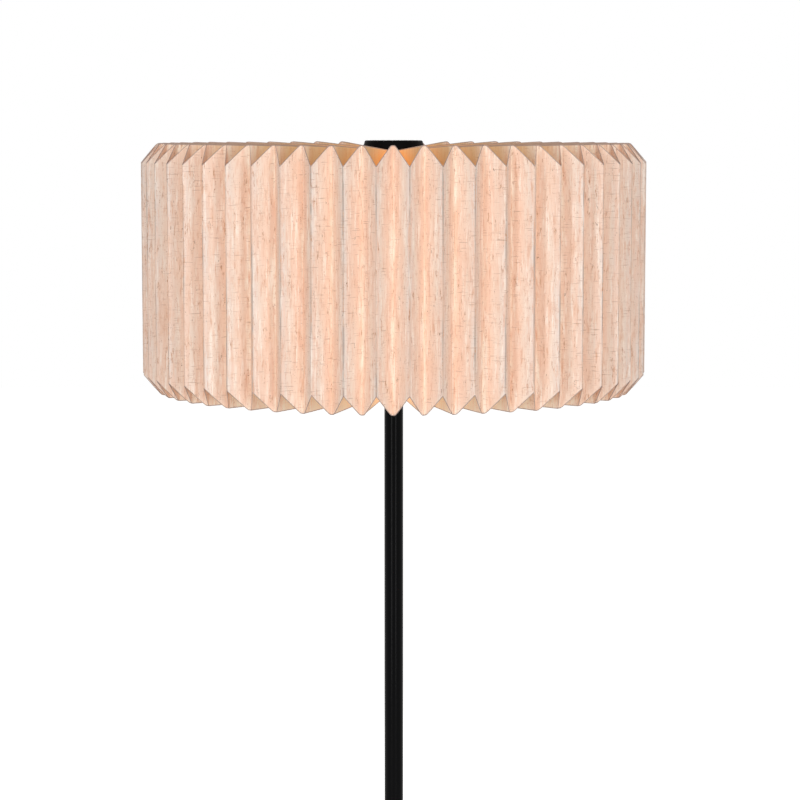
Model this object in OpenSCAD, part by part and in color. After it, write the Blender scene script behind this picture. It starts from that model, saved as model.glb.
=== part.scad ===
// Floor lamp with a deep-pleated paper shade on a slim weighted stand.
// Millimetres. +Z is up, the origin is at the centre of the base's underside.
// The shade is a concertina opened through a full turn: every groove of its
// outside carries on inwards as a two-ply leaf, bound to a tube round the light.

/* [Shade] */
// Number of pleats round the shade, a multiple of four
pleats = 52; // [40:4:60]
// Radius of the outer ridges
ridge_r = 250; // [245:0.5:256]
// Radius of the grooves between the ridges
groove_r = 232.2; // [226:0.2:236]
// Height of the shade at the grooves, tip to tip
tip_h = 246; // [235:1:265]
// Height of the shade at the outer ridges
ridge_h = 207; // [190:1:220]
// How far the leaves' upper edges fall towards the middle
leaf_fall = 7; // [5:0.5:12]
// Thickness of one ply of the paper
paper_t = 0.4; // [0.3:0.05:0.5]
// Height of the leaves' lower edges above the floor
shade_z = 1250; // [1150:5:1400]

/* [Spine and carrier] */
// Outer radius of the tube that the leaves are bound to
spine_r = 26; // [25.5:0.1:27.5]
// Wall of that tube
spine_wall = 1; // [0.8:0.1:1.4]
// Radius of the disc that the shade stands on
carrier_r = 80; // [60:1:110]
// Thickness of that disc
carrier_t = 2; // [1.5:0.5:4]

/* [Cap] */
// Radius of the cap at its foot
cap_r = 30; // [29:0.25:34]
// Radius of the cap at its top
cap_top_r = 29; // [27:0.25:29]
// How far the cap stands above the shade's tips
cap_rise = 2.5; // [2:0.5:12]

/* [Pole] */
// Outside diameter of the tube
tube_d = 19; // [18.5:0.5:22]
// Wall of the tube
tube_wall = 1.2; // [1:0.1:1.5]
// Length of the lower and of the middle tube
section_len = 395; // [300:5:420]

/* [Base] */
// Diameter of the base
base_d = 290; // [250:5:340]
// Thickness of the iron weight
weight_t = 16; // [15:1:24]
// Thickness of the pressed cover
cover_t = 1.5; // [1:0.1:2]
// Thickness of the ring that the lamp stands on
foot_t = 2; // [1.5:0.5:4]

/* [Light] */
// Outside radius of the opal tube round the light
opal_r = 23; // [22:0.25:23.25]
// Side of the square bar that carries the light boards
bar_side = 14; // [12:1:16]
// Number of lights on each board
lights = 16; // [8:1:20]

/* [Hidden] */

$fn = 96;
past = 1;              // how far a cutting shape runs past the face it cuts
press_gap = 0.05;      // radial gap of a piece held in a bore
turn_gap = 0.08;       // radial gap of a bearing
pass_gap = 0.3;        // radial gap where a piece only passes through
end_play = 0.3;        // lift that lets the carrier turn
wire_r = 3.5;          // radius of the passage for the wires

// Base, from the floor up
base_r = base_d / 2;
edge_r = 4;                                  // rounding of the cover's top edge
weight_gap = 2.5;                            // clears the inside of that rounding
cover_lift = 1;                              // the cover's rim hangs this far above the floor
weight_r = base_r - cover_t - weight_gap;
weight_top = foot_t + weight_t;
cover_top = weight_top + cover_t;
foot_ring_r = weight_r - 5;
foot_ring_w = 14;
recess_r = 26;                               // hollow under the weight for the nut
recess_top = weight_top - 6;
nipple_r = 5;
washer_r = 16;
washer_t = 1.5;
nut_across = 17;
nut_t = 5;
nipple_top = cover_top + 17;
plug_h = 20;

// Inlet for the cable, at the back
gland_r = 4.8;
gland_bore_r = 3.4;
gland_flange_r = 6.6;
gland_flange_t = 2.5;
gland_in = 12;                               // how far the neck reaches into the base
gland_z = foot_t + 7.5;
channel_w = 2 * gland_r + 2.4;
channel_top = gland_z + gland_r + 1.2;

// Pole
tube_r = tube_d / 2;
tube_in_r = tube_r - tube_wall;
fill_r = tube_in_r - press_gap;              // a piece that fills the tube
collar_r = tube_r + 6.5;
collar_h = 18;
collar_round = 2;
screw_r = 2;
screw_len = 6;
key_r = 1.15;                                // hexagon for the key
key_depth = 2.5;
screw_z = cover_top + 10;
joint_t = 2;                                 // band of a coupler between two tubes
coupler_reach = 22;                          // how far a coupler enters each tube
lower_end = cover_top + section_len;
middle_start = lower_end + joint_t;
middle_end = middle_start + section_len;
upper_start = middle_end + joint_t;

// Pole head and carrier
bearing_t = 1;
head_flange_t = 4;
head_flange_r = tube_r + 10.5;
boss_r = 12;
head_reach = 25;
carrier_z = shade_z - carrier_t;
flange_top = carrier_z - bearing_t;
tube_end = flange_top - head_flange_t;
boss_top = shade_z + end_play;
spigot_r = 6;
spigot_h = 11;

// Shade
pitch = 360 / pleats;
chamfer_z = (tip_h - ridge_h) / 2;
tip_r = groove_r + 1.4;                      // the tips are blunt, so the chamfers start here
seat_z = tip_h - leaf_fall;                  // level strip of the leaves under the cap
seat_r = cap_r + 1;
leaf_in_r = spine_r + press_gap;
fold_angle = atan2(ridge_r * sin(pitch / 2), ridge_r * cos(pitch / 2) - groove_r);

// Light, from the pole head up
light_flange_t = 3;
step_h = 4;                                  // step that centres the opal tube
opal_wall = 2;
opal_in_r = opal_r - opal_wall;
opal_start = boss_top + light_flange_t;
nut6_t = 5;
nut6_across = 10;
plate_t = 3;
nut_gap = 0.5;                               // above and below the level of the cap's foot
cap_z = shade_z + seat_z;
plate_top = cap_z - nut_gap - nut6_t;
plate_z = plate_top - plate_t;
bar_end = plate_z - step_h;
board_w = 10;
board_t = 1;
board_margin = 8;
board_z = opal_start + step_h + board_margin;
board_len = bar_end - board_margin - board_z;
chip = 3;
chip_t = 0.8;
lead_hole_r = 1.5;                           // hole for the boards' leads, above the step
stud_r = 3;
stud_in = 15;

// Cap
cap_top = shade_z + tip_h + cap_rise;
cap_round = 2;
cap_wall = 3;
cap_roof = 3.5;
cap_foot_h = 4;                              // straight part below the taper
skirt_h = 4;                                 // ring that centres the cap in the spine tube
skirt_r = spine_r - spine_wall - pass_gap;
skirt_in_r = skirt_r - cap_wall;
insert_r = 5;
insert_z = cap_z + nut_gap;
insert_end = cap_top - cap_roof;
cap_boss_r = insert_r + 2.5;
stud_end = insert_end - 1;

function polar(r, a) = [r * cos(a), r * sin(a)];
// A point given along and across the leaf at angle a
function on_leaf(along, across, a) =
    [along * cos(a) - across * sin(a), along * sin(a) + across * cos(a)];
function arc(centre, r, from, to, steps = 6) =
    [for (i = [0 : steps]) centre + polar(r, from + (to - from) * i / steps)];

// Ring between two radii and two heights
module ring(inner, outer, from, to) {
    translate([0, 0, from])
        difference() {
            cylinder(r = outer, h = to - from);
            translate([0, 0, -past]) cylinder(r = inner, h = to - from + 2 * past);
        }
}

// Hexagonal nut round a stud, given by its width across the flats
module hex_nut(across, hole_r, from, height) {
    translate([0, 0, from])
        difference() {
            cylinder(r = across / sqrt(3), h = height, $fn = 6);
            translate([0, 0, -past]) cylinder(r = hole_r, h = height + 2 * past);
        }
}

module foot_ring() {
    color("#2A2A2C") ring(foot_ring_r - foot_ring_w, foot_ring_r, 0, foot_t);
}

// Iron disc, hollowed below for the nut and channelled to the back for the cable
module base_weight() {
    color("#3A3B3D")
        difference() {
            translate([0, 0, foot_t]) cylinder(r = weight_r, h = weight_t);
            translate([0, 0, foot_t - past])
                cylinder(r = recess_r, h = recess_top - foot_t + past);
            cylinder(r = nipple_r + pass_gap, h = weight_top + past);
            translate([-channel_w / 2, 0, foot_t - past])
                cube([channel_w, weight_r + past, channel_top - foot_t + past]);
        }
}

// Pressed steel shell over the weight, with a rolled edge
module base_cover() {
    outside = concat(
        [[base_r, cover_lift]],
        arc([base_r - edge_r, cover_top - edge_r], edge_r, 0, 90),
        [[0, cover_top]]);
    inside = concat(
        [[0, weight_top]],
        arc([base_r - edge_r, cover_top - edge_r], edge_r - cover_t, 90, 0),
        [[base_r - cover_t, cover_lift]]);
    color("#101011")
        difference() {
            rotate_extrude() polygon(concat(outside, inside));
            cylinder(r = nipple_r + pass_gap, h = cover_top + past);
            translate([0, base_r - 2 * edge_r, gland_z])
                rotate([-90, 0, 0]) cylinder(r = gland_r + press_gap, h = 3 * edge_r);
        }
}

// Rubber bush in the rim of the cover, where the cable goes in
module cable_gland() {
    color("#151515")
        translate([0, base_r, gland_z])
            rotate([-90, 0, 0])
                difference() {
                    union() {
                        translate([0, 0, -gland_in]) cylinder(r = gland_r, h = gland_in + past);
                        cylinder(r = gland_flange_r, h = gland_flange_t);
                    }
                    translate([0, 0, -gland_in - past])
                        cylinder(r = gland_bore_r, h = gland_in + gland_flange_t + 2 * past);
                }
}

// Hollow threaded pipe that ties the pole to the base
module base_nipple() {
    color("#B9A15A")
        ring(wire_r, nipple_r, recess_top - washer_t - nut_t - past, nipple_top);
}

module base_washer() {
    color("#A9ABAE") ring(nipple_r + pass_gap, washer_r, recess_top - washer_t, recess_top);
}

module base_nut() {
    color("#A9ABAE")
        hex_nut(nut_across, nipple_r + press_gap, recess_top - washer_t - nut_t, nut_t);
}

// Threaded plug in the foot of the pole
module tube_plug() {
    color("#8D8F92")
        difference() {
            translate([0, 0, cover_top]) cylinder(r = fill_r, h = plug_h);
            cylinder(r = nipple_r + press_gap, h = nipple_top + past);
            cylinder(r = wire_r, h = cover_top + plug_h + past);
        }
}

// Turned collar round the foot of the pole
module base_collar() {
    color("#101011")
        difference() {
            translate([0, 0, cover_top])
                rotate_extrude()
                    polygon(concat(
                        [[tube_r + press_gap, 0], [collar_r, 0]],
                        arc([collar_r - collar_round, collar_h - collar_round], collar_round, 0, 90),
                        [[tube_r + press_gap, collar_h]]));
            translate([0, 0, screw_z])
                rotate([-90, 0, 0]) cylinder(r = screw_r + press_gap, h = collar_r + past);
        }
}

// Grub screw that locks the collar, at the back
module collar_screw() {
    color("#55565A")
        translate([0, tube_r, screw_z])
            rotate([-90, 0, 0])
                difference() {
                    cylinder(r = screw_r, h = screw_len);
                    translate([0, 0, screw_len - key_depth])
                        cylinder(r = key_r, h = key_depth + past, $fn = 6);
                }
}

module pole_tube(from, to) {
    color("#0E0E0F") ring(tube_in_r, tube_r, from, to);
}

module lower_tube() { pole_tube(cover_top, lower_end); }
module middle_tube() { pole_tube(middle_start, middle_end); }
module upper_tube() { pole_tube(upper_start, tube_end); }

// Threaded coupler: a flush band between two tubes and a stub inside each
module coupler(band_z) {
    color("#18181A")
        difference() {
            union() {
                translate([0, 0, band_z - coupler_reach])
                    cylinder(r = fill_r, h = joint_t + 2 * coupler_reach);
                translate([0, 0, band_z]) cylinder(r = tube_r, h = joint_t);
            }
            translate([0, 0, band_z - coupler_reach - past])
                cylinder(r = wire_r, h = joint_t + 2 * (coupler_reach + past));
        }
}

module lower_coupler() { coupler(lower_end); }
module upper_coupler() { coupler(middle_end); }

// Head of the pole: stub in the tube, flange, and the boss that the carrier turns on
module pole_head() {
    color("#8D8F92")
        difference() {
            union() {
                translate([0, 0, tube_end - head_reach]) cylinder(r = fill_r, h = head_reach + past);
                translate([0, 0, tube_end]) cylinder(r = head_flange_r, h = head_flange_t);
                translate([0, 0, tube_end]) cylinder(r = boss_r, h = boss_top - tube_end);
            }
            translate([0, 0, tube_end - head_reach - past])
                cylinder(r = wire_r, h = head_reach + boss_top - tube_end + 2 * past);
            translate([0, 0, boss_top - spigot_h - past])
                cylinder(r = spigot_r + press_gap, h = spigot_h + 2 * past);
        }
}

module bearing_washer() {
    color("#E8E6DF") ring(boss_r + pass_gap, head_flange_r - 1, flange_top, carrier_z);
}

// Disc that the leaves stand on, free to turn on the pole head
module carrier_disc() {
    color("#121213") ring(boss_r + turn_gap, carrier_r, carrier_z, shade_z);
}

// Clear tube that the leaves' inner edges are bound to
module spine_tube() {
    color("#F4EFE4", 0.6) ring(spine_r - spine_wall, spine_r, shade_z, cap_z);
}

// The paper seen from above: the zigzag wall and the leaves that run in from its grooves
module paper_plan() {
    ridge_in_r = ridge_r - paper_t / sin(fold_angle + pitch / 2);
    root_r = groove_r - paper_t * tan(fold_angle / 2);
    outside = [for (i = [0 : pleats - 1])
        each [polar(groove_r, i * pitch), polar(ridge_r, (i + 0.5) * pitch)]];
    inside = [for (i = [0 : pleats - 1])
        each [
            on_leaf(root_r, -paper_t, i * pitch),
            on_leaf(leaf_in_r, -paper_t, i * pitch),
            on_leaf(leaf_in_r, paper_t, i * pitch),
            on_leaf(root_r, paper_t, i * pitch),
            polar(ridge_in_r, (i + 0.5) * pitch)
        ]];
    polygon(
        concat(outside, inside),
        [[for (i = [0 : len(outside) - 1]) i],
         [for (i = [0 : len(inside) - 1]) len(outside) + i]]);
}

// The shade's side view: chamfered at the rim, falling towards the cap's seat
module paper_profile() {
    rise = chamfer_z / (ridge_r - tip_r);
    polygon([
        [0, 0],
        [tip_r, 0],
        [ridge_r + past, chamfer_z + past * rise],
        [ridge_r + past, tip_h - chamfer_z - past * rise],
        [tip_r, tip_h],
        [seat_r, seat_z],
        [0, seat_z]
    ]);
}

module pleated_shade() {
    color("#F3CDB0")
        translate([0, 0, shade_z])
            intersection() {
                translate([0, 0, -past]) linear_extrude(tip_h + 2 * past) paper_plan();
                rotate_extrude() paper_profile();
            }
}

// Aluminium bar that cools the light boards, on the flange that holds the opal tube
module light_bar() {
    color("#B8BBBF")
        difference() {
            union() {
                translate([0, 0, boss_top - spigot_h + past])
                    cylinder(r = spigot_r, h = spigot_h);
                translate([0, 0, boss_top]) cylinder(r = opal_r, h = light_flange_t);
                translate([0, 0, boss_top])
                    cylinder(r = opal_in_r - press_gap, h = light_flange_t + step_h);
                translate([-bar_side / 2, -bar_side / 2, boss_top])
                    cube([bar_side, bar_side, bar_end - boss_top]);
            }
            translate([0, 0, boss_top - spigot_h])
                cylinder(r = wire_r, h = spigot_h + light_flange_t + step_h + board_margin);
            translate([0, 0, opal_start + step_h + board_margin / 2])
                rotate([0, 90, 0]) cylinder(r = lead_hole_r, h = bar_side);
            translate([0, 0, bar_end - stud_in])
                cylinder(r = stud_r + press_gap, h = stud_in + past);
        }
}

module on_each_side() {
    for (side = [0 : 3])
        rotate([0, 0, side * 90]) translate([bar_side / 2, 0, board_z]) children();
}

module light_boards() {
    color("#F2F3F0")
        on_each_side() translate([0, -board_w / 2, 0]) cube([board_t, board_w, board_len]);
}

module light_chips() {
    step = board_len / lights;
    color("#FFE9B8")
        on_each_side()
            for (i = [0 : lights - 1])
                translate([board_t, -chip / 2, (i + 0.5) * step - chip / 2])
                    cube([chip_t, chip, chip]);
}

module opal_tube() {
    color("#FFF3DC", 0.7) ring(opal_in_r, opal_r, opal_start, plate_z);
}

// Lid of the opal tube, clamped to the end of the bar
module top_plate() {
    color("#B8BBBF")
        difference() {
            union() {
                translate([0, 0, plate_z]) cylinder(r = opal_r, h = plate_t);
                translate([0, 0, bar_end]) cylinder(r = opal_in_r - press_gap, h = step_h + past);
            }
            translate([0, 0, bar_end - past])
                cylinder(r = stud_r + press_gap, h = step_h + plate_t + 2 * past);
        }
}

module cap_stud() {
    color("#A9ABAE")
        translate([0, 0, bar_end - stud_in]) cylinder(r = stud_r, h = stud_end - bar_end + stud_in);
}

module stud_nut() {
    color("#A9ABAE") hex_nut(nut6_across, stud_r + press_gap, plate_top, nut6_t);
}

// Black cap: its foot holds the leaves down and its skirt centres the spine tube
module cap() {
    hollow_top = cap_top - cap_roof;
    color("#0B0B0C")
        rotate_extrude()
            polygon(concat(
                [[skirt_r, cap_z - skirt_h], [skirt_r, cap_z], [cap_r, cap_z],
                 [cap_r, cap_z + cap_foot_h]],
                arc([cap_top_r - cap_round, cap_top - cap_round], cap_round, 0, 90),
                [[0, cap_top], [0, insert_end], [insert_r + press_gap, insert_end],
                 [insert_r + press_gap, insert_z], [cap_boss_r, insert_z],
                 [cap_boss_r, hollow_top], [skirt_in_r, hollow_top],
                 [skirt_in_r, cap_z - skirt_h]]));
}

// Threaded bush in the middle of the cap
module cap_insert() {
    color("#B9A15A") ring(stud_r + turn_gap, insert_r, insert_z, insert_end);
}

foot_ring();
base_weight();
base_cover();
cable_gland();
base_nipple();
base_washer();
base_nut();
tube_plug();
base_collar();
collar_screw();
lower_tube();
lower_coupler();
middle_tube();
upper_coupler();
upper_tube();
pole_head();
bearing_washer();
carrier_disc();
spine_tube();
pleated_shade();
light_bar();
light_boards();
light_chips();
opal_tube();
top_plate();
cap_stud();
stud_nut();
cap();
cap_insert();
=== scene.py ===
import math

import bmesh
import bpy
import numpy as np
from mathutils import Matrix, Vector


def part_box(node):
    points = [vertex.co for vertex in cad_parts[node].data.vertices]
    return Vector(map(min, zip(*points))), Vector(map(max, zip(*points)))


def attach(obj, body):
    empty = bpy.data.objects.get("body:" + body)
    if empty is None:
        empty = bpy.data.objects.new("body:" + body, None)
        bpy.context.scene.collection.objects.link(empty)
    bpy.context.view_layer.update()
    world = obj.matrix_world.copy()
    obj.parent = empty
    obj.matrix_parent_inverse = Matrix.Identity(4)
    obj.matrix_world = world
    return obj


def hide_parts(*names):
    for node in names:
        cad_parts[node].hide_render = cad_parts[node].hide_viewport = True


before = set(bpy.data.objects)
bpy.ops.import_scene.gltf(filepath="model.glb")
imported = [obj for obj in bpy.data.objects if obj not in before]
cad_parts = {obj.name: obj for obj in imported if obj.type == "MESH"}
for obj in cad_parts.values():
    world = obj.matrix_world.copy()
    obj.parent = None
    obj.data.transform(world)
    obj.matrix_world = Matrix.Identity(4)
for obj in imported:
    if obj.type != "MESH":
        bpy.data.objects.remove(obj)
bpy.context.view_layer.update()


# ---------------------------------------------------------------- the ring underfoot
# A flat ring of moulded rubber lies under the iron weight and keeps it off the floor. The same
# rubber makes the bush at the back, where the cable goes in. Rubber gives a soft, dusty black.

def srgb(code):
    """A hex colour as linear red, green, blue and alpha."""
    part = np.array([int(code[i:i + 2], 16) for i in (1, 3, 5)]) / 255
    linear = np.where(part <= 0.04045, part / 12.92, ((part + 0.055) / 1.055) ** 2.4)
    return (*linear, 1.0)


def add(tree, kind, inputs=None, **settings):
    """Adds a node with its settings. Each input is a number, a vector, a hex colour, or the
    output of another node, which is linked."""
    node = tree.nodes.new(kind)
    for name, value in settings.items():
        setattr(node, name, value)
    for name, value in (inputs or {}).items():
        if isinstance(value, bpy.types.NodeSocket):
            tree.links.new(value, node.inputs[name])
        else:
            node.inputs[name].default_value = srgb(value) if isinstance(value, str) else value
    return node


def new_material(name, **surface):
    """A material whose Principled shader holds the constants given by socket name. Returns it
    with its tree, its shader and the Object coordinates, which are metres."""
    material = bpy.data.materials.new(name)
    material.use_nodes = True
    tree = material.node_tree
    shader = tree.nodes["Principled BSDF"]
    for socket, value in surface.items():
        value = srgb(value) if isinstance(value, str) else value
        shader.inputs[socket.replace("_", " ")].default_value = value
    return material, tree, shader, add(tree, "ShaderNodeTexCoord").outputs["Object"]


def set_stops(ramp_node, stops):
    """Puts a list of places and hex colours on a colour ramp."""
    elements = ramp_node.color_ramp.elements
    while len(elements) < len(stops):
        elements.new(0.5)
    for element, (place, code) in zip(elements, stops):
        element.position = place
        element.color = srgb(code)


def grained(name, light, dark, grain_mm, bump_mm, stretch=(1, 1, 1), detail=4.0, **surface):
    """A surface whose colour moves between two shades, and whose height moves with it. grain_mm
    is the width of a grain, and stretch makes the grain longer along an axis."""
    material, tree, shader, place = new_material(name, **surface)
    lie = add(tree, "ShaderNodeMapping",
              {"Vector": place, "Scale": [1000 / grain_mm / s for s in stretch]})
    noise = add(tree, "ShaderNodeTexNoise", {"Vector": lie.outputs[0], "Scale": 1.0,
                                             "Detail": detail})
    shade = add(tree, "ShaderNodeValToRGB", {"Fac": noise.outputs["Fac"]})
    set_stops(shade, [(0.3, dark), (0.7, light)])
    bump = add(tree, "ShaderNodeBump", {"Height": noise.outputs["Fac"], "Strength": 1.0,
                                        "Distance": bump_mm / 1000})
    tree.links.new(shade.outputs["Color"], shader.inputs["Base Color"])
    tree.links.new(bump.outputs[0], shader.inputs["Normal"])
    return material


def clothe(node, material):
    """Gives a solid of the frame its material."""
    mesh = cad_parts[node].data
    mesh.materials.clear()
    mesh.materials.append(material)


rubber = grained("moulded_rubber", "#2B2B2C", "#1B1B1C", 1.2, 0.03, Roughness=0.85,
                 Specular_IOR_Level=0.3)
clothe("foot_ring", rubber)


# ---------------------------------------------------------------- the iron weight
# A sand-cast iron disc, turned on its rim, with a hollow below for the nut and a channel to the
# back for the cable. The sand leaves a coarse skin, which takes the light in small dull spots.

cast_iron = grained("sand_cast_iron", "#4A4B4D", "#2F3032", 1.6, 0.25, Metallic=0.6,
                    Roughness=0.7, detail=6.0)
clothe("base_weight", cast_iron)


# ---------------------------------------------------------------- the fasteners in the base
# A hollow brass pipe, turned and threaded, ties the pole to the base, with a zinc-plated washer
# and nut under the weight. The turned steel plug and grub screw are left bare.

def turned(name, light, dark, roughness, pitch_mm=1.2):
    """Metal from a lathe: the tool's rings are bands of height along Z. They are drawn at twice
    their real pitch, so that they show. A wave of scale 1 repeats every tau / 20 metres."""
    material, tree, shader, place = new_material(name, Metallic=1.0, Roughness=roughness)
    tool_mark = 0.00003                   # height of the rings, in metres
    wave = add(tree, "ShaderNodeTexWave",
               {"Vector": place, "Scale": math.tau / 20 * 1000 / pitch_mm, "Distortion": 0.4,
                "Detail": 2.0}, wave_type="BANDS", bands_direction="Z")
    stains = 90.0                         # patches 11 mm wide
    stain = add(tree, "ShaderNodeTexNoise", {"Vector": place, "Scale": stains, "Detail": 3.0})
    shade = add(tree, "ShaderNodeValToRGB", {"Fac": stain.outputs["Fac"]})
    set_stops(shade, [(0.3, dark), (0.7, light)])
    bump = add(tree, "ShaderNodeBump", {"Height": wave.outputs["Fac"], "Strength": 0.4,
                                        "Distance": tool_mark})
    tree.links.new(shade.outputs["Color"], shader.inputs["Base Color"])
    tree.links.new(bump.outputs[0], shader.inputs["Normal"])
    return material


brass = turned("turned_brass", "#D8BC6C", "#B0903F", 0.3)
zinc_plate = grained("zinc_plate", "#C3C7CC", "#9CA1A6", 2.5, 0.01, Metallic=1.0, Roughness=0.38)
bare_steel = turned("turned_steel", "#B4B6B9", "#8D9094", 0.32)
for node in ("base_washer", "base_nut"):
    clothe(node, zinc_plate)
for node in ("tube_plug", "collar_screw"):
    clothe(node, bare_steel)
clothe("base_nipple", brass)


# ---------------------------------------------------------------- the base cover and collar
# The cover is a shell of pressed steel over the weight, with a rolled edge and a small turned-in
# rim. A turned collar hides the foot of the pole. Both are powder coated: a satin black skin
# with the faint orange peel that the baked powder leaves.

def mm(node):
    """A node's lowest and highest corner in millimetres."""
    low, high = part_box(node)
    return np.array(low) * 1000, np.array(high) * 1000


def arc(centre, radius, start, end, steps=8):
    """Points on a circle round centre, from one angle to another, in degrees."""
    turn = np.radians(np.linspace(start, end, steps))
    return np.column_stack([centre[0] + radius * np.cos(turn), centre[1] + radius * np.sin(turn)])


def finish_mesh(name, mesh, material, body, replaces, sharp=35):
    """Merges doubles, turns every face outwards, smooths up to the sharp angle, and hands the
    piece to its body."""
    work = bmesh.new()
    work.from_mesh(mesh)
    bmesh.ops.remove_doubles(work, verts=work.verts, dist=1e-6)
    bmesh.ops.dissolve_degenerate(work, edges=work.edges, dist=1e-7)
    bmesh.ops.recalc_face_normals(work, faces=work.faces)
    work.to_mesh(mesh)
    work.free()
    mesh.shade_smooth()
    mesh.set_sharp_from_angle(angle=math.radians(sharp))
    mesh.materials.append(material)
    piece = bpy.data.objects.new(name, mesh)
    bpy.context.scene.collection.objects.link(piece)
    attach(piece, body)
    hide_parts(replaces)
    return piece


def lathe(name, outline, material, body, replaces, steps=160):
    """A closed outline of radius and height, in millimetres, carried once round Z. A point is
    (r cos a, r sin a, z), and points on the axis are merged there."""
    r, z = np.vstack(outline).T / 1000
    a = np.linspace(0, math.tau, steps, endpoint=False)
    grid = np.stack([np.outer(np.cos(a), r), np.outer(np.sin(a), r),
                     np.broadcast_to(z, (steps, len(z)))], axis=-1)
    i, j = np.meshgrid(np.arange(steps), np.arange(len(r)), indexing="ij")
    i2, j2 = (i + 1) % steps, (j + 1) % len(r)
    faces = np.stack([i * len(r) + j, i2 * len(r) + j, i2 * len(r) + j2, i * len(r) + j2], -1)
    off_axis = (r[j] > 1e-9) | (r[j2] > 1e-9)
    mesh = bpy.data.meshes.new(name)
    mesh.from_pydata(grid.reshape(-1, 3), [], faces[off_axis])
    return finish_mesh(name, mesh, material, body, replaces)


powder = grained("satin_black_powder_coat", "#040405", "#020203", 3.0, 0.003, Roughness=0.16,
                 Specular_IOR_Level=0.055)
pass_gap = 0.3                        # round a piece that only passes through
fit_gap = 0.05                        # round a piece that is held
low, high = mm("base_cover")
cover_r, cover_foot, cover_top = high[0], low[2], high[2]
pressed = cover_top - mm("base_weight")[1][2]              # thickness of the sheet
pipe_hole = mm("base_nipple")[1][0] + pass_gap
roll, hem = 4.0, 0.5                  # radius of the rolled edge and of the rim
cover_outline = [
    (pipe_hole, cover_top),
    arc((cover_r - roll, cover_top - roll), roll, 90, 0),
    arc((cover_r - hem, cover_foot + hem), hem, 0, -90, 4),
    arc((cover_r - pressed + hem, cover_foot + hem), hem, -90, -180, 4),
    arc((cover_r - roll, cover_top - roll), roll - pressed, 0, 90),
    (pipe_hole, cover_top - pressed)]
lathe("base_cover_shell", cover_outline, powder, "stand", "base_cover",
      steps=220)

low, high = mm("base_collar")
collar_r, collar_foot, collar_top = high[0], low[2], high[2]
tube_r = mm("lower_tube")[1][0]
collar_in_r = tube_r + fit_gap
ease, shoulder = 0.4, 2.4             # the eased edges and the rounded shoulder
collar_outline = [
    (collar_in_r, collar_foot), (collar_r - ease, collar_foot), (collar_r, collar_foot + ease),
    arc((collar_r - shoulder, collar_top - shoulder), shoulder, 0, 90),
    (collar_in_r + ease, collar_top), (collar_in_r, collar_top - ease)]
lathe("base_collar_ring", collar_outline, powder, "stand", "base_collar",
      steps=96)
clothe("cable_gland", rubber)


# ---------------------------------------------------------------- the pole
# Three lengths of drawn steel tube, screwed end to end on threaded couplers whose flush bands
# show as fine seams. The tubes are powder coated in the same satin black, and their ends are
# eased, so that each seam catches a thin line of light.

tube_wall = 1.2
seam = 0.25                           # how far the ends are eased
for name in ("lower_tube", "middle_tube", "upper_tube"):
    low, high = mm(name)
    tube_outline = [
        (tube_r - tube_wall, low[2]), (tube_r - seam, low[2]), (tube_r, low[2] + seam),
        (tube_r, high[2] - seam), (tube_r - seam, high[2]), (tube_r - tube_wall, high[2])]
    lathe(name + "_drawn", tube_outline, powder, "stand", name, steps=96)
for node in ("lower_coupler", "upper_coupler"):
    clothe(node, powder)


# ---------------------------------------------------------------- the pole head and carrier
# A turned steel head is pressed into the top of the pole. Its flange holds a nylon washer, and
# the round carrier turns on its boss. The carrier is a laser-cut steel disc, powder coated.

nylon = grained("cast_nylon", "#EFECE2", "#E4E0D3", 3.0, 0.01, Roughness=0.5,
                Subsurface_Weight=0.1)
clothe("pole_head", bare_steel)
clothe("bearing_washer", nylon)
clothe("carrier_disc", powder)


# ---------------------------------------------------------------- the light
# An extruded aluminium bar stands on the pole head and cools four light boards. Each board is
# glass fibre under white solder mask, with a row of phosphor chips. The opal acrylic tube round
# them spreads their warm light, and an aluminium lid with a nut and stud closes it.

aluminium = grained("extruded_aluminium", "#D4D6D9", "#B9BCC0", 0.5, 0.01,
                    stretch=(1, 1, 60), Metallic=1.0, Roughness=0.36)
solder_mask = grained("white_solder_mask", "#F3F4F1", "#E6E8E4", 1.5, 0.01, Roughness=0.35)
phosphor = grained("lit_phosphor", "#FFE3A0", "#FFD27C", 0.6, 0.02, Roughness=0.6,
                   Emission_Color="#FFD9A0", Emission_Strength=2.0)
opal = grained("opal_acrylic", "#F3E6D2", "#EBDBC2", 8.0, 0.005, Roughness=0.45,
               Emission_Color="#FFD3A0", Emission_Strength=0.3)
for node in ("light_bar", "top_plate"):
    clothe(node, aluminium)
clothe("light_boards", solder_mask)
clothe("light_chips", phosphor)
clothe("opal_tube", opal)
for node in ("cap_stud", "stud_nut"):
    clothe(node, zinc_plate)


# ---------------------------------------------------------------- the spine tube
# A thin tube of frosted acrylic, to which the inner edges of the leaves are glued one after the
# other. It is extruded, so it is dead straight, and the frosting hides the light's outline.

frosted = grained("frosted_acrylic", "#FFF6EA", "#F8ECDA", 2.0, 0.02, Roughness=0.4,
                  Transmission_Weight=0.85, IOR=1.49)
clothe("spine_tube", frosted)


# ---------------------------------------------------------------- the pleated shade
# Fifty-two sheets of paper, faced with a thin cork veneer, folded and glued back to back. Each
# runs out from the spine as one ply of a leaf, turns at the groove, meets its own ridge and runs
# back in. The rim's corners are cut off at a slant, and the leaves fall a little inwards.

pleats = 52
pitch = math.tau / pleats
ridge_r, groove_r = 250.0, 232.2
ridge_h, leaf_fall = 207.0, 7.0
paper = 0.4
low, high = mm("pleated_shade")
shade_z, tip_h = low[2], high[2] - low[2]
spine_r, cap_r = mm("spine_tube")[1][0], mm("cap")[1][0]
leaf_in_r = spine_r + fit_gap
seat_r = cap_r + 1                    # the leaves are level up to here, under the cap
tip_r = groove_r + 1.7                # the tips are blunt
slant = (tip_h - ridge_h) / 2         # height of the cut-off corners
groove_round, ridge_round = 0.7, 0.5  # radius of the folds


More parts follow.
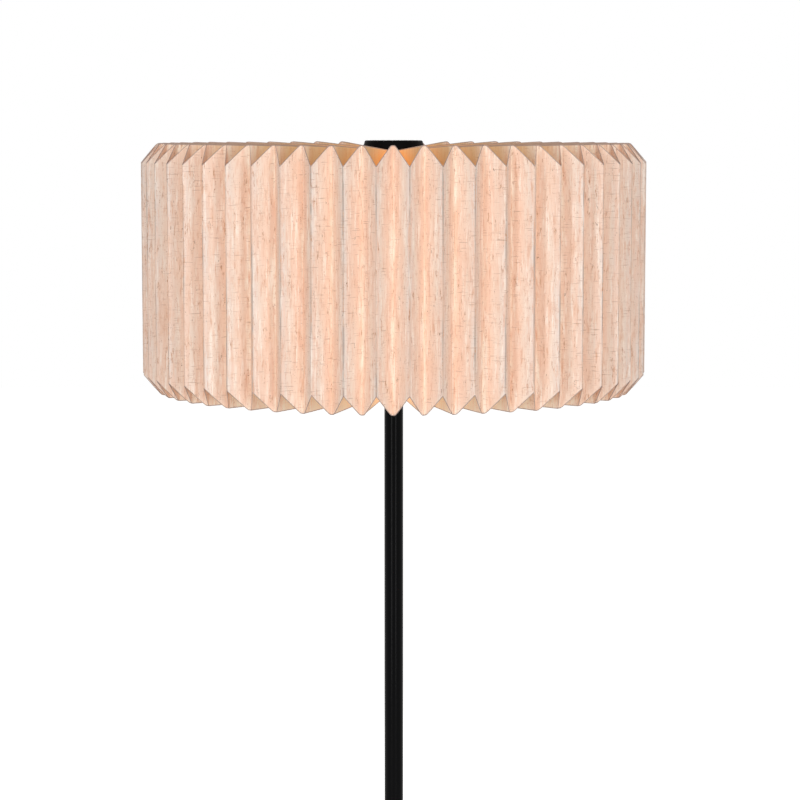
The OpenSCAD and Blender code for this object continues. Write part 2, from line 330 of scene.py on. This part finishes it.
def fillet(before, corner, after, radius, count):
    """The arc that rounds a corner. It leaves and meets the two sides at radius over tan(half
    the corner's angle), and its centre lies at radius over sin(half) along the middle line."""
    back, on = before - corner, after - corner
    back, on = back / np.linalg.norm(back), on / np.linalg.norm(on)
    half = math.acos(back @ on) / 2
    centre = corner + (back + on) / np.linalg.norm(back + on) * radius / math.sin(half)
    t = np.linspace(0, 1, count)[:, None]
    spoke = corner + (back * (1 - t) + on * t) * radius / math.tan(half) - centre
    return centre + spoke / np.linalg.norm(spoke, axis=1, keepdims=True) * radius


def sheet_plan(leaf_steps=8, wall_steps=(0.9, 1.8, 2.7, 3.8, 5.5, 9.0, 14.0)):
    """One sheet seen from above, along the middle of its thickness, between the leaf at angle 0
    and the next one. Its second half is the first, mirrored about the ridge: a point p goes to
    2 (p . m) m - p, with m the unit vector at half a pitch."""
    middle = np.array([math.cos(pitch / 2), math.sin(pitch / 2)])

    def mirror(p):
        return 2 * (p @ middle)[..., None] * middle - p

    half_ply = paper / 2
    spine = np.array([leaf_in_r, half_ply])
    groove = np.array([groove_r - half_ply, half_ply])
    ridge = middle * (ridge_r - half_ply * math.sqrt(2))
    bend = fillet(spine, groove, ridge, groove_round, 5)
    leaf = np.linspace(spine, bend[0], leaf_steps, endpoint=False)
    outwards = (ridge - groove) / np.linalg.norm(ridge - groove)
    wall = bend[-1] + outwards * np.array(wall_steps)[:, None]
    crest = fillet(groove, ridge, mirror(groove), ridge_round, 7)
    half = np.vstack([leaf, bend, wall])
    return np.vstack([half, crest, mirror(half)[::-1]])


plan = sheet_plan()
step = np.linalg.norm(np.diff(plan, axis=0), axis=1)
along = np.concatenate([[0], np.cumsum(step)]) - step.sum() / 2      # 0 on the ridge
radius = np.linalg.norm(plan, axis=1)
past_tip = radius - tip_r
blunt = 1.0                           # the slanted cut starts in a small round
cut_off = (past_tip + np.hypot(past_tip, blunt)) / 2 * slant / (ridge_r - tip_r)
lower = cut_off
upper = np.interp(radius, [seat_r, tip_r], [tip_h - leaf_fall, tip_h]) - cut_off

rows = np.linspace(0, 1, 11)
trim = 1.1                            # the cut edges have a row of faces of their own
rise = np.concatenate([[0, 0], rows[1:-1], [1, 1]])
inset = np.concatenate([[0, trim], 0 * rows[1:-1], [-trim, 0]])

# The folds are made by hand: each ridge leans (radians), swells and stands high (mm) by its own
# small amount. All ridges stand out a little more, as the round of the fold takes that back.
lean_by, swell_by, lift_by, crest_out = 0.00045, 0.15, 0.10, 0.3
random = np.random.default_rng(11)
sheets = np.arange(pleats)[:, None, None]
lean = random.normal(0, lean_by, (pleats, 1, 1))
swell = random.normal(0, swell_by, (pleats, 1, 1))
lift = random.normal(0, lift_by, (pleats, 1, 1))
outer = np.clip((radius - groove_r) / (ridge_r - groove_r), 0, 1)
level = (lower + (upper - lower) * rise[:, None] + inset[:, None])[None]
grid_size = (pleats, len(rise), len(plan))
reach = radius + outer * (np.sin(math.pi * rise)[:, None] * swell + crest_out)
bearing = np.arctan2(plan[:, 1], plan[:, 0]) + sheets * pitch + lean * outer
reach, bearing, height = (np.broadcast_to(v, grid_size)
                          for v in (reach, bearing, level + lift))
paper_points = np.stack([reach * np.cos(bearing), reach * np.sin(bearing), shade_z + height], -1)

sheet_count, row_count, column_count = grid_size
k, j, i = np.meshgrid(np.arange(sheet_count), np.arange(row_count - 1),
                      np.arange(column_count - 1), indexing="ij")
first = (k * row_count + j) * column_count + i
above = first + column_count
faces = np.stack([first, first + 1, above + 1, above], -1).reshape(-1, 4)
mesh = bpy.data.meshes.new("pleated_paper")
mesh.from_pydata(paper_points.reshape(-1, 3) / 1000, [], faces)

# The paper's own coordinates: how far a point is from the ridge, which strip of veneer it is
# cut from, and how high it is. A second attribute says how near the cut edge is.
strip_step = 0.37                     # metres between the strips, so no two look alike
grain = np.stack(np.broadcast_arrays(along / 1000, sheets * strip_step, level / 1000), -1)
cut = np.broadcast_to(np.minimum(level - lower, upper - level) / 1000, grid_size)
for name, kind, field, values in (
        ("grain", "FLOAT_VECTOR", "vector", grain), ("cut", "FLOAT", "value", cut)):
    layer = mesh.attributes.new(name, kind, "POINT")
    layer.data.foreach_set(field, values.astype(np.float32).ravel())
uv = mesh.uv_layers.new(name="sheet")
corners = np.zeros(len(mesh.loops), np.int32)
mesh.loops.foreach_get("vertex_index", corners)
map_size, map_shift = [0.5, 0.25], [0.5, 0]        # the map covers this many metres
spread = (grain[..., [0, 2]] / map_size + map_shift).reshape(-1, 2)
uv.data.foreach_set("uv", spread[corners].astype(np.float32).ravel())


def cork_paper():
    """Cork-veneered paper, with the light from inside painted on as a glow. The cork is shaved
    from long strips, so its grain is drawn out upwards: patches, fine streaks, short brown pores,
    and hairlines across where two shavings meet. The crest has a grey line, part wear and part
    painted shade, the wall turns peach towards the groove, where a painted cream glow lies, and
    there and down the leaf a painted glow stands for the light behind it, over a tan of painted
    shade."""
    material, tree, shader, _ = new_material("cork_veneered_paper", Roughness=0.8,
                                             Specular_IOR_Level=0.2, Emission_Strength=1.0)
    here = add(tree, "ShaderNodeAttribute", attribute_name="grain").outputs["Vector"]
    cut_at = add(tree, "ShaderNodeAttribute", attribute_name="cut").outputs["Fac"]
    parts = add(tree, "ShaderNodeSeparateXYZ", {"Vector": here}).outputs
    side = add(tree, "ShaderNodeMath", {0: parts["X"]}, operation="ABSOLUTE").outputs[0]

    # tone of the wall by the distance from the ridge, which is stretched and shrunk by up to a
    # fifth in patches of 33 mm. The dark grey line on the crest is part wear and part painted
    # shade, and the cream at the groove is a painted glow.
    wall_mm = 24.0
    patches, stretch_by = 30.0, 0.9
    drift = add(tree, "ShaderNodeTexNoise", {"Vector": here, "Scale": patches, "Detail": 2.0})
    factor = add(tree, "ShaderNodeMath", {0: drift.outputs["Fac"], 1: stretch_by,
                                          2: 1 - stretch_by / 2}, operation="MULTIPLY_ADD")
    wander = add(tree, "ShaderNodeMath", {0: side, 1: factor.outputs[0]}, operation="MULTIPLY")
    share = add(tree, "ShaderNodeMath", {0: wander.outputs[0], 1: 1000 / wall_mm},
                operation="MULTIPLY")
    wall_tone_and_painted_light = add(tree, "ShaderNodeValToRGB", {"Fac": share.outputs[0]})
    set_stops(wall_tone_and_painted_light, [(mm_in / wall_mm, code) for mm_in, code in (
        (0.4, "#B4A298"), (1.0, "#E8DAD1"), (2.0, "#EDDDD3"), (4.0, "#EAD7CA"), (8.0, "#EFDACA"),
        (13.0, "#F1D6C3"), (18.0, "#F1D1BB"), (21.0, "#F2DECC"), (23.2, "#FAEEE0"))])
    colour = wall_tone_and_painted_light.outputs["Color"]

    # width and length in mm of the coarsest mark, how strong the finer ones are, shift, where
    # the marks set in and are full, and how much they cover
    strips_apart = 40.0                   # so that two strips share no marks
    pattern = (
        (8.0, 90.0, 0.55, 4.1, 0.40, 0.62, 0.65, "#F0CCB6"),
        (3.4, 45.0, 0.70, 1.7, 0.50, 0.68, 0.80, "#FDEFE3"),
        (1.6, 12.0, 0.60, 6.4, 0.50, 0.66, 0.50, "#E5BB9F"),
        (2.8, 24.0, 0.80, 7.3, 0.53, 0.70, 0.75, "#D8A485"),
        (3.5, 17.0, 0.90, 5.9, 0.58, 0.68, 0.85, "#BE8B6A"),
        (4.0, 11.0, 1.00, 2.6, 0.64, 0.69, 0.90, "#85583D"),
        (6.0, 0.9, 0.70, 3.3, 0.60, 0.68, 0.45, "#BE9074"),
        (13.0, 0.8, 0.50, 8.8, 0.63, 0.69, 0.50, "#AA7A5C"))
    for width, length, fineness, shift, sets_in, full, amount, code in pattern:
        lie = add(tree, "ShaderNodeMapping",
                  {"Vector": here, "Location": (shift, shift, shift),
                   "Scale": (1000 / width, strips_apart, 1000 / length)})
        noise = add(tree, "ShaderNodeTexNoise",
                    {"Vector": lie.outputs[0], "Scale": 1.0, "Detail": 4.0,
                     "Roughness": fineness})
        amount_here = add(tree, "ShaderNodeMapRange",
                          {"Value": noise.outputs["Fac"], "From Min": sets_in, "From Max": full,
                           "To Max": amount}, interpolation_type="SMOOTHSTEP")
        colour = add(tree, "ShaderNodeMix", {0: amount_here.outputs[0], 6: colour, 7: code},
                     data_type="RGBA").outputs[2]

    # down the leaf the veneer gives way to a tan that is painted shade of the deep cells: darker
    # towards the top, paler near the foot, with a third of the veneer still showing
    pale_to, tan_from = 0.02, 0.12        # heights in metres
    foot = add(tree, "ShaderNodeMapRange", {"Value": parts["Z"], "From Min": pale_to,
                                            "From Max": tan_from})
    leaf = add(tree, "ShaderNodeMix", {0: foot.outputs[0], 6: "#FDEFDE", 7: "#E0BC84"},
               data_type="RGBA")
    leaf_starts, leaf_full = 0.0235, 0.045                 # metres from the ridge
    inwards = add(tree, "ShaderNodeMapRange", {"Value": side, "From Min": leaf_starts,
                                               "From Max": leaf_full})
    leaf_tan_and_painted_shade = add(tree, "ShaderNodeMix", {0: 0.65, 6: colour, 7: leaf.outputs[2]},
                  data_type="RGBA")
    colour = add(tree, "ShaderNodeMix", {0: inwards.outputs[0], 6: colour, 7: leaf_tan_and_painted_shade.outputs[2]},
                 data_type="RGBA").outputs[2]

    # the cut edge is painted a dusty grey, part bare edge and part painted shade along it, in the
    # row of faces that it has of its own
    edge_dust_and_shade_full = 0.0006
    edge_dust_and_shade = add(tree, "ShaderNodeMapRange", {"Value": cut_at, "From Min": trim / 1000,
                                            "From Max": edge_dust_and_shade_full, "To Max": 0.9})
    colour = add(tree, "ShaderNodeMix", {0: edge_dust_and_shade.outputs[0], 6: colour, 7: "#A8928A"},
                 data_type="RGBA").outputs[2]
    tree.links.new(colour, shader.inputs["Base Color"])

    # a painted glow, which stands for the light that comes through, by the distance from the ridge
    # down to the spine
    sheet_mm = 230.0
    depth = add(tree, "ShaderNodeMath", {0: side, 1: 1000 / sheet_mm}, operation="MULTIPLY")
    glow = add(tree, "ShaderNodeValToRGB", {"Fac": depth.outputs[0]})
    set_stops(glow, [(mm_in / sheet_mm, code) for mm_in, code in (
        (0.0, "#000000"), (9.0, "#120F0D"), (17.0, "#2D2926"), (21.0, "#443F38"),
        (23.0, "#5C564D"), (26.0, "#554F43"), (36.0, "#58503E"), (60.0, "#605030"),
        (226.0, "#B48746"))])
    dimmed = add(tree, "ShaderNodeMix", {0: 1.0, 6: glow.outputs["Color"], 7: colour},
                 data_type="RGBA", blend_type="MULTIPLY")
    tree.links.new(dimmed.outputs[2], shader.inputs["Emission Color"])

    # the skin's fine relief, 1 mm wide and 7 mm long, drawn out upwards as the grain is
    lie = add(tree, "ShaderNodeMapping", {"Vector": here, "Scale": (900.0, strips_apart, 150.0)})
    skin = add(tree, "ShaderNodeTexNoise", {"Vector": lie.outputs[0], "Scale": 1.0, "Detail": 5.0})
    bump = add(tree, "ShaderNodeBump", {"Height": skin.outputs["Fac"], "Strength": 0.6,
                                        "Distance": 0.00016})
    tree.links.new(bump.outputs[0], shader.inputs["Normal"])
    return material


shade = bpy.data.objects.new("pleated_paper_shade", mesh)
bpy.context.scene.collection.objects.link(shade)
mesh.materials.append(cork_paper())
mesh.shade_smooth()
mesh.set_sharp_from_angle(angle=math.radians(40))
ply = shade.modifiers.new("ply", "SOLIDIFY")
ply.thickness = paper / 1000
ply.offset = 0.0
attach(shade, "shade")
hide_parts("pleated_shade")


# ---------------------------------------------------------------- the cap
# A cap of moulded ABS screws down on the stud by its brass bush and holds the leaves' inner
# edges. The mould was lightly blasted, so the black skin is matt with a soft shine.

abs_black = grained("moulded_black_abs", "#060607", "#030304", 0.5, 0.01, Roughness=0.5,
                    Specular_IOR_Level=0.04)
low, high = mm("cap")
skirt_foot, cap_top = low[2], high[2]
cap_z = shade_z + tip_h - leaf_fall
spine_wall, cap_wall, boss_wall = 1.0, 3.0, 2.5
skirt_r = spine_r - spine_wall - pass_gap       # centres the cap in the spine
skirt_in_r = skirt_r - cap_wall
top_r, top_round, taper = 29.0, 2.0, 4         # the side leans in by 4 degrees
foot_h, foot_ease = 4.0, 0.3
bush_low, bush_high = mm("cap_insert")
bush_r, boss_r = bush_high[0] + fit_gap, bush_high[0] + boss_wall
cap_outline = [
    (0, cap_top), arc((top_r - top_round, cap_top - top_round), top_round, 90, taper),
    (cap_r, cap_z + foot_h), (cap_r, cap_z + foot_ease), (cap_r - foot_ease, cap_z),
    (skirt_r, cap_z),
    (skirt_r, skirt_foot), (skirt_in_r, skirt_foot), (skirt_in_r, bush_high[2]),
    (boss_r, bush_high[2]), (boss_r, bush_low[2]), (bush_r, bush_low[2]),
    (bush_r, bush_high[2]), (0, bush_high[2])]
lathe("cap_moulded", cap_outline, abs_black, "cap", "cap", steps=128)
clothe("cap_insert", brass)


# ---------------------------------------------------------------- the studio
# A pale floor in a white surround, one broad soft lamp in front between two tall ones, which put
# two faint streaks on the pole, and one behind. The camera stands 2.55 m in front of the shade,
# a little above it, and looks slightly down.

def eye_ray(tree):
    """1 for a ray from the camera or from a mirror or glass, and 0 for one that lights."""
    path = add(tree, "ShaderNodeLightPath").outputs
    bright = add(tree, "ShaderNodeMath", {0: path["Is Camera Ray"], 1: path["Is Glossy Ray"]},
                 operation="MAXIMUM")
    return add(tree, "ShaderNodeMath", {0: bright.outputs[0], 1: path["Is Transmission Ray"]},
               operation="MAXIMUM").outputs[0]


# The floor's own glow keeps it white, and is weaker round the base, where the shadow shows.
floor_tone = "#F4F3F1"
near_lift, far_lift = 0.2, 0.62
near, far = 0.5, 3.0                   # metres from the pole
material, tree, shader, place = new_material("pale_floor", Base_Color=floor_tone, Roughness=0.95,
                                             Specular_IOR_Level=0.0, Emission_Color="#FFFFFF")
away = add(tree, "ShaderNodeVectorMath", {0: place}, operation="LENGTH").outputs["Value"]
floor_lift = add(tree, "ShaderNodeMapRange", {"Value": away, "From Min": near, "From Max": far,
                                              "To Min": near_lift, "To Max": far_lift})
lift_here = add(tree, "ShaderNodeMath", {0: eye_ray(tree), 1: floor_lift.outputs[0]},
                operation="MULTIPLY")
tree.links.new(lift_here.outputs[0], shader.inputs["Emission Strength"])
floor_mesh = bpy.data.meshes.new("floor")
edge = 12.0                           # half the floor's side, in metres
floor_mesh.from_pydata([(-edge, -edge, 0), (edge, -edge, 0), (edge, edge, 0), (-edge, edge, 0)],
                       [], [(0, 1, 2, 3)])
floor_mesh.materials.append(material)
floor = bpy.data.objects.new("floor", floor_mesh)
bpy.context.scene.collection.objects.link(floor)

surround = 0.51                       # how much the white walls light the lamp
world = bpy.data.worlds.new("studio")
bpy.context.scene.world = world
world.use_nodes = True
air = world.node_tree
dim = air.nodes["Background"]
dim.inputs["Color"].default_value = srgb("#FFFFFF")
dim.inputs["Strength"].default_value = surround
white = add(air, "ShaderNodeBackground", {"Color": "#FFFFFF", "Strength": 1.0})
choose = add(air, "ShaderNodeMixShader", {0: eye_ray(air), 1: dim.outputs[0],
                                          2: white.outputs[0]})
air.links.new(choose.outputs[0], air.nodes["World Output"].inputs["Surface"])


def softbox(name, place, aim, size, watts):
    """A lamp of a width and height at a place, turned to face a point."""
    data = bpy.data.lights.new(name, "AREA")
    data.shape = "RECTANGLE"
    data.size, data.size_y = size
    data.energy = watts
    lamp = bpy.data.objects.new(name, data)
    bpy.context.scene.collection.objects.link(lamp)
    lamp.location = place
    lamp.rotation_euler = (Vector(aim) - Vector(place)).to_track_quat("-Z", "Y").to_euler()


middle_of_lamp = (0.0, 0.0, 1.3)
softbox("front_softbox", (0.0, -3.4, 2.6), middle_of_lamp, (1.6, 1.6), 12)
softbox("left_softbox", (-1.45, -3.1, 1.7), middle_of_lamp, (0.5, 3.1), 28)
softbox("right_softbox", (1.45, -3.1, 1.7), middle_of_lamp, (0.5, 3.1), 28)
softbox("back_softbox", (0.0, 3.4, 2.5), middle_of_lamp, (1.6, 1.6), 36)

shade_middle = 1.3725
camera_right, camera_away, camera_up = 0.00627, 2.5498, 0.1443
camera_tilt = 0.1084                  # radians below level
camera_data = bpy.data.cameras.new("camera")
camera_data.lens = 115.1
camera_data.sensor_width = 36.0
camera = bpy.data.objects.new("camera", camera_data)
bpy.context.scene.collection.objects.link(camera)
camera.location = (camera_right, -camera_away, shade_middle + camera_up)
camera.rotation_euler = (math.pi / 2 - camera_tilt, 0, 0)
bpy.context.scene.camera = camera
bpy.context.scene.view_settings.view_transform = "Standard"
